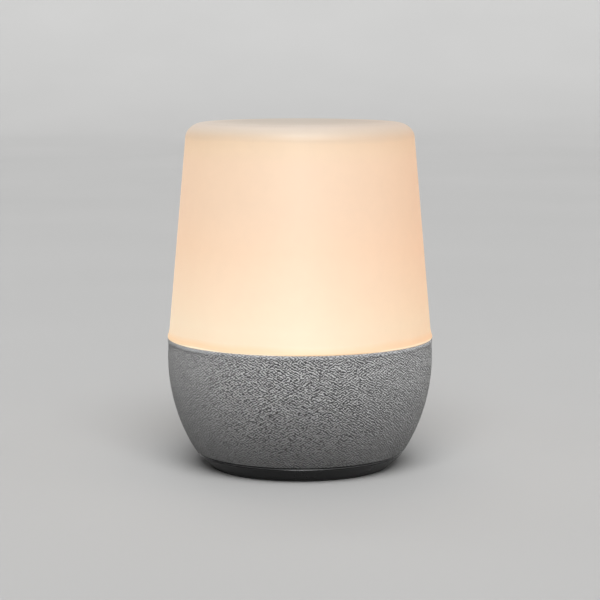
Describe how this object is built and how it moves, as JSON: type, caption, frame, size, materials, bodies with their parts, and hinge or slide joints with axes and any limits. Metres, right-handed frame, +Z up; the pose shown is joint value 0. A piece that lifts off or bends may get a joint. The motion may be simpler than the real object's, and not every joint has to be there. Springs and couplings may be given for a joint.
{
  "type": "smart speaker",
  "caption": "Table-top smart speaker: a tapered glowing touch shade on a leather-wrapped, bowl-shaped speaker base with a rear control panel.",
  "frame": {"origin": "centre of the foot pad's underside, on the surface the speaker stands on", "axes": "+Z up along the axis of the shade and base; the front faces -Y, and the control panel is on the +Y side"},
  "size_m": [0.12, 0.1201, 0.1566],
  "materials": {
    "shade_plastic": "opal diffusing polycarbonate with a fine matt texture, lit from inside",
    "leather_wrap": "grey leather-look wrap with a fine pebbled grain",
    "foot_plastic": "black moulded plastic, satin",
    "panel_plastic": "black moulded plastic, fine texture",
    "button_plastic": "satin black caps",
    "mute_plastic": "orange slider",
    "shell_plastic": "moulded ABS",
    "white_plastic": "white moulded plastic",
    "black_plastic": "black moulded plastic",
    "rubber": "soft matt rubber",
    "foam": "closed-cell foam gasket",
    "steel": "zinc-plated steel",
    "copper": "copper",
    "gold_metal": "gold-plated contact",
    "aluminium": "sheet aluminium",
    "ferrite": "sintered ferrite",
    "paper": "coated paper cone",
    "spider_cloth": "resin-dipped woven cloth",
    "white_board": "white solder-masked circuit board",
    "green_board": "green solder-masked circuit board",
    "led_phosphor": "LED packages with warm phosphor",
    "clear_plastic": "frosted clear acrylic",
    "chip_epoxy": "black moulded chip packages",
    "cell_wrap": "shrink-wrapped steel battery cells",
    "cable_pvc": "PVC-insulated copper leads",
    "capacitor_sleeve": "aluminium can capacitors in sleeves"
  },
  "bodies": {
    "speaker_body": {"shade": "shade_plastic", "shade_screws": "steel", "touch_plate": "copper", "touch_post": "white_plastic", "touch_wire": "gold_metal", "light_reflector": "white_plastic", "led_board": "white_board", "leds": "led_phosphor", "led_board_screws": "steel", "heat_spreader": "aluminium", "deck": "white_plastic", "deck_gasket": "foam", "deck_screws": "steel", "base_wrap": "leather_wrap", "base_shell": "shell_plastic", "speaker_baffle": "black_plastic", "baffle_screws": "steel", "foot_plate": "foot_plastic", "foot_pad": "rubber", "foot_screws": "steel", "sound_deflector": "black_plastic", "driver_frame": "steel", "driver_gasket": "foam", "driver_screws": "steel", "driver_terminal": "black_plastic", "driver_top_plate": "steel", "driver_magnet": "ferrite", "driver_yoke": "steel", "driver_spider": "spider_cloth", "driver_surround": "rubber", "control_panel": "panel_plastic", "button_board": "green_board", "button_switches": "steel", "button_board_screws": "steel", "microphones": "gold_metal", "mic_boots": "rubber", "status_light_pipe": "clear_plastic", "usb_socket": "steel", "aux_socket": "black_plastic", "mute_switch": "steel", "main_board": "green_board", "main_board_screws": "steel", "board_chips": "chip_epoxy", "board_capacitors": "capacitor_sleeve", "board_connectors": "white_plastic", "battery_cells": "cell_wrap", "battery_tabs": "steel", "battery_tray": "black_plastic", "tray_screws": "steel", "speaker_leads": "cable_pvc", "battery_leads": "cable_pvc", "led_leads": "cable_pvc"},
    "cone": {"driver_cone": "paper", "driver_dust_cap": "paper", "voice_coil_former": "aluminium", "voice_coil": "copper"},
    "power_button": {"power_button": "button_plastic"},
    "volume_down_button": {"volume_down_button": "button_plastic"},
    "volume_up_button": {"volume_up_button": "button_plastic"},
    "mute_slider": {"mute_slider": "mute_plastic"}
  },
  "joints": [
    {"name": "power_button_press", "type": "slide", "parent": "speaker_body", "child": "power_button", "axis": [0, -1, 0], "range_m": [0, 0.0008], "stiffness_N_per_m": 1500, "springref_m": -0.0008},
    {"name": "volume_down_button_press", "type": "slide", "parent": "speaker_body", "child": "volume_down_button", "axis": [0, -1, 0], "range_m": [0, 0.0008], "stiffness_N_per_m": 1500, "springref_m": -0.0008},
    {"name": "volume_up_button_press", "type": "slide", "parent": "speaker_body", "child": "volume_up_button", "axis": [0, -1, 0], "range_m": [0, 0.0008], "stiffness_N_per_m": 1500, "springref_m": -0.0008},
    {"name": "mute_slide", "type": "slide", "parent": "speaker_body", "child": "mute_slider", "axis": [1, 0, 0], "range_m": [0, 0.0024]},
    {"name": "cone_travel", "type": "slide", "parent": "speaker_body", "child": "cone", "axis": [0, 0, 1], "range_m": [-0.001, 0.001], "stiffness_N_per_m": 1200, "deforming": ["driver_surround", "driver_spider"]}
  ]
}
